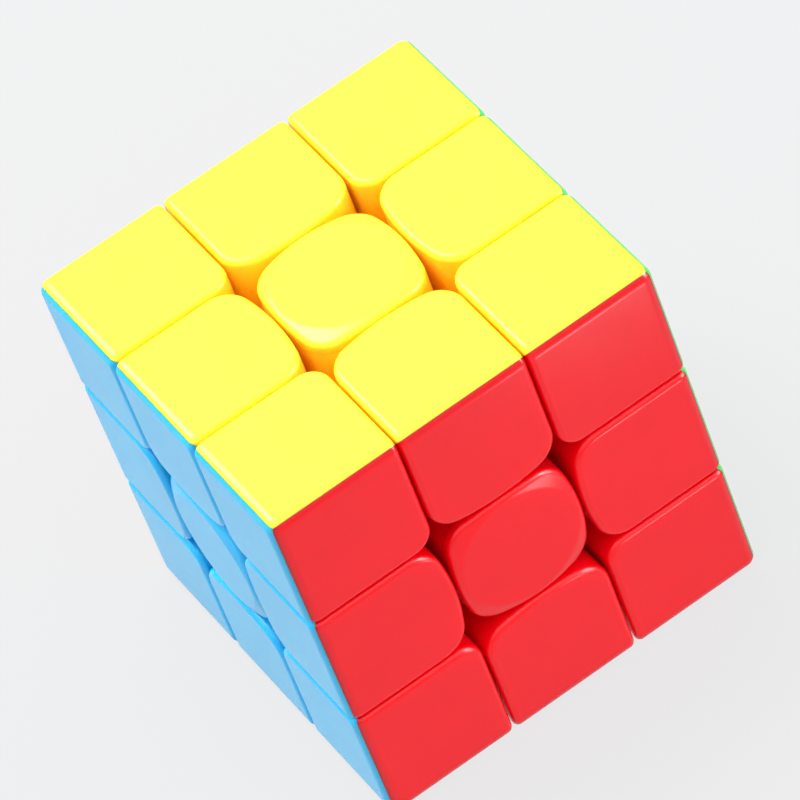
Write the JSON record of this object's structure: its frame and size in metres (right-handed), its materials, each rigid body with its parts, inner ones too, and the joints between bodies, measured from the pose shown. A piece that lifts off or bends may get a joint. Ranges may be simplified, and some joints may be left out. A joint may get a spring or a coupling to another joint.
{
  "type": "twisty puzzle cube",
  "caption": "Twisty puzzle cube in solid-coloured plastic: sprung centres on an armed core carry edge and corner pieces, which turn face by face.",
  "frame": {"origin": "centre of the cube, where all six turning axes meet", "axes": "+Z out of the yellow face, -Y out of the red face, +X out of the green face"},
  "size_m": [0.056, 0.056, 0.056],
  "materials": {
    "yellow_plastic": "satin gloss moulded plastic",
    "white_plastic": "satin gloss moulded plastic",
    "red_plastic": "satin gloss moulded plastic",
    "orange_plastic": "satin gloss moulded plastic",
    "green_plastic": "satin gloss moulded plastic",
    "blue_plastic": "satin gloss moulded plastic",
    "core_nylon": "moulded nylon",
    "screw_steel": "zinc plated",
    "washer_steel": "pressed",
    "spring_steel": "drawn wire"
  },
  "bodies": {
    "core": {"core": "core_nylon", "screws": "screw_steel", "washers": "washer_steel", "springs": "spring_steel"},
    "centre_up": {"centre_yellow": "yellow_plastic"},
    "centre_down": {"centre_white": "white_plastic"},
    "centre_front": {"centre_red": "red_plastic"},
    "centre_back": {"centre_orange": "orange_plastic"},
    "centre_right": {"centre_green": "green_plastic"},
    "centre_left": {"centre_blue": "blue_plastic"},
    "edge_up_front": {"edge_up_front_yellow": "yellow_plastic", "edge_up_front_red": "red_plastic"},
    "edge_up_back": {"edge_up_back_yellow": "yellow_plastic", "edge_up_back_orange": "orange_plastic"},
    "edge_up_right": {"edge_up_right_yellow": "yellow_plastic", "edge_up_right_green": "green_plastic"},
    "edge_up_left": {"edge_up_left_yellow": "yellow_plastic", "edge_up_left_blue": "blue_plastic"},
    "edge_down_front": {"edge_down_front_white": "white_plastic", "edge_down_front_red": "red_plastic"},
    "edge_down_back": {"edge_down_back_white": "white_plastic", "edge_down_back_orange": "orange_plastic"},
    "edge_down_right": {"edge_down_right_white": "white_plastic", "edge_down_right_green": "green_plastic"},
    "edge_down_left": {"edge_down_left_white": "white_plastic", "edge_down_left_blue": "blue_plastic"},
    "edge_front_right": {"edge_front_right_red": "red_plastic", "edge_front_right_green": "green_plastic"},
    "edge_front_left": {"edge_front_left_red": "red_plastic", "edge_front_left_blue": "blue_plastic"},
    "edge_back_right": {"edge_back_right_orange": "orange_plastic", "edge_back_right_green": "green_plastic"},
    "edge_back_left": {"edge_back_left_orange": "orange_plastic", "edge_back_left_blue": "blue_plastic"},
    "corner_up_front_right": {"corner_up_front_right_yellow": "yellow_plastic", "corner_up_front_right_red": "red_plastic", "corner_up_front_right_green": "green_plastic"},
    "corner_up_front_left": {"corner_up_front_left_yellow": "yellow_plastic", "corner_up_front_left_red": "red_plastic", "corner_up_front_left_blue": "blue_plastic"},
    "corner_up_back_right": {"corner_up_back_right_yellow": "yellow_plastic", "corner_up_back_right_orange": "orange_plastic", "corner_up_back_right_green": "green_plastic"},
    "corner_up_back_left": {"corner_up_back_left_yellow": "yellow_plastic", "corner_up_back_left_orange": "orange_plastic", "corner_up_back_left_blue": "blue_plastic"},
    "corner_down_front_right": {"corner_down_front_right_white": "white_plastic", "corner_down_front_right_red": "red_plastic", "corner_down_front_right_green": "green_plastic"},
    "corner_down_front_left": {"corner_down_front_left_white": "white_plastic", "corner_down_front_left_red": "red_plastic", "corner_down_front_left_blue": "blue_plastic"},
    "corner_down_back_right": {"corner_down_back_right_white": "white_plastic", "corner_down_back_right_orange": "orange_plastic", "corner_down_back_right_green": "green_plastic"},
    "corner_down_back_left": {"corner_down_back_left_white": "white_plastic", "corner_down_back_left_orange": "orange_plastic", "corner_down_back_left_blue": "blue_plastic"}
  },
  "joints": [
    {"name": "turn_up", "type": "hinge", "parent": "core", "child": "centre_up", "pos_m": [0, 0, 0], "axis": [0, 0, 1], "continuous": true},
    {"name": "turn_down", "type": "hinge", "parent": "core", "child": "centre_down", "pos_m": [0, 0, 0], "axis": [0, 0, -1], "continuous": true},
    {"name": "turn_front", "type": "hinge", "parent": "core", "child": "centre_front", "pos_m": [0, 0, 0], "axis": [0, -1, 0], "continuous": true},
    {"name": "turn_back", "type": "hinge", "parent": "core", "child": "centre_back", "pos_m": [0, 0, 0], "axis": [0, 1, 0], "continuous": true},
    {"name": "turn_right", "type": "hinge", "parent": "core", "child": "centre_right", "pos_m": [0, 0, 0], "axis": [1, 0, 0], "continuous": true},
    {"name": "turn_left", "type": "hinge", "parent": "core", "child": "centre_left", "pos_m": [0, 0, 0], "axis": [-1, 0, 0], "continuous": true},
    {"name": "edge_up_front_with_front", "type": "hinge", "parent": "centre_up", "child": "edge_up_front", "pos_m": [0, 0, 0], "axis": [0, -1, 0], "continuous": true},
    {"name": "edge_up_back_with_back", "type": "hinge", "parent": "centre_up", "child": "edge_up_back", "pos_m": [0, 0, 0], "axis": [0, 1, 0], "continuous": true},
    {"name": "edge_up_right_with_up", "type": "hinge", "parent": "centre_right", "child": "edge_up_right", "pos_m": [0, 0, 0], "axis": [0, 0, 1], "continuous": true},
    {"name": "edge_up_left_with_up", "type": "hinge", "parent": "centre_left", "child": "edge_up_left", "pos_m": [0, 0, 0], "axis": [0, 0, 1], "continuous": true},
    {"name": "edge_down_front_with_front", "type": "hinge", "parent": "centre_down", "child": "edge_down_front", "pos_m": [0, 0, 0], "axis": [0, -1, 0], "continuous": true},
    {"name": "edge_down_back_with_back", "type": "hinge", "parent": "centre_down", "child": "edge_down_back", "pos_m": [0, 0, 0], "axis": [0, 1, 0], "continuous": true},
    {"name": "edge_down_right_with_down", "type": "hinge", "parent": "centre_right", "child": "edge_down_right", "pos_m": [0, 0, 0], "axis": [0, 0, -1], "continuous": true},
    {"name": "edge_down_left_with_down", "type": "hinge", "parent": "centre_left", "child": "edge_down_left", "pos_m": [0, 0, 0], "axis": [0, 0, -1], "continuous": true},
    {"name": "edge_front_right_with_right", "type": "hinge", "parent": "centre_front", "child": "edge_front_right", "pos_m": [0, 0, 0], "axis": [1, 0, 0], "continuous": true},
    {"name": "edge_front_left_with_left", "type": "hinge", "parent": "centre_front", "child": "edge_front_left", "pos_m": [0, 0, 0], "axis": [-1, 0, 0], "continuous": true},
    {"name": "edge_back_right_with_right", "type": "hinge", "parent": "centre_back", "child": "edge_back_right", "pos_m": [0, 0, 0], "axis": [1, 0, 0], "continuous": true},
    {"name": "edge_back_left_with_left", "type": "hinge", "parent": "centre_back", "child": "edge_back_left", "pos_m": [0, 0, 0], "axis": [-1, 0, 0], "continuous": true},
    {"name": "corner_up_front_right_with_right", "type": "hinge", "parent": "edge_up_front", "child": "corner_up_front_right", "pos_m": [0, 0, 0], "axis": [1, 0, 0], "continuous": true},
    {"name": "corner_up_front_left_with_left", "type": "hinge", "parent": "edge_up_front", "child": "corner_up_front_left", "pos_m": [0, 0, 0], "axis": [-1, 0, 0], "continuous": true},
    {"name": "corner_up_back_right_with_right", "type": "hinge", "parent": "edge_up_back", "child": "corner_up_back_right", "pos_m": [0, 0, 0], "axis": [1, 0, 0], "continuous": true},
    {"name": "corner_up_back_left_with_left", "type": "hinge", "parent": "edge_up_back", "child": "corner_up_back_left", "pos_m": [0, 0, 0], "axis": [-1, 0, 0], "continuous": true},
    {"name": "corner_down_front_right_with_right", "type": "hinge", "parent": "edge_down_front", "child": "corner_down_front_right", "pos_m": [0, 0, 0], "axis": [1, 0, 0], "continuous": true},
    {"name": "corner_down_front_left_with_left", "type": "hinge", "parent": "edge_down_front", "child": "corner_down_front_left", "pos_m": [0, 0, 0], "axis": [-1, 0, 0], "continuous": true},
    {"name": "corner_down_back_right_with_right", "type": "hinge", "parent": "edge_down_back", "child": "corner_down_back_right", "pos_m": [0, 0, 0], "axis": [1, 0, 0], "continuous": true},
    {"name": "corner_down_back_left_with_left", "type": "hinge", "parent": "edge_down_back", "child": "corner_down_back_left", "pos_m": [0, 0, 0], "axis": [-1, 0, 0], "continuous": true}
  ],
  "couplings": [
    {"joint": "edge_up_front_with_front", "follows": "turn_front", "ratio": 1},
    {"joint": "edge_up_back_with_back", "follows": "turn_back", "ratio": 1},
    {"joint": "edge_up_right_with_up", "follows": "turn_up", "ratio": 1},
    {"joint": "edge_up_left_with_up", "follows": "turn_up", "ratio": 1},
    {"joint": "edge_down_front_with_front", "follows": "turn_front", "ratio": 1},
    {"joint": "edge_down_back_with_back", "follows": "turn_back", "ratio": 1},
    {"joint": "edge_down_right_with_down", "follows": "turn_down", "ratio": 1},
    {"joint": "edge_down_left_with_down", "follows": "turn_down", "ratio": 1},
    {"joint": "edge_front_right_with_right", "follows": "turn_right", "ratio": 1},
    {"joint": "edge_front_left_with_left", "follows": "turn_left", "ratio": 1},
    {"joint": "edge_back_right_with_right", "follows": "turn_right", "ratio": 1},
    {"joint": "edge_back_left_with_left", "follows": "turn_left", "ratio": 1},
    {"joint": "corner_up_front_right_with_right", "follows": "turn_right", "ratio": 1},
    {"joint": "corner_up_front_left_with_left", "follows": "turn_left", "ratio": 1},
    {"joint": "corner_up_back_right_with_right", "follows": "turn_right", "ratio": 1},
    {"joint": "corner_up_back_left_with_left", "follows": "turn_left", "ratio": 1},
    {"joint": "corner_down_front_right_with_right", "follows": "turn_right", "ratio": 1},
    {"joint": "corner_down_front_left_with_left", "follows": "turn_left", "ratio": 1},
    {"joint": "corner_down_back_right_with_right", "follows": "turn_right", "ratio": 1},
    {"joint": "corner_down_back_left_with_left", "follows": "turn_left", "ratio": 1}
  ]
}
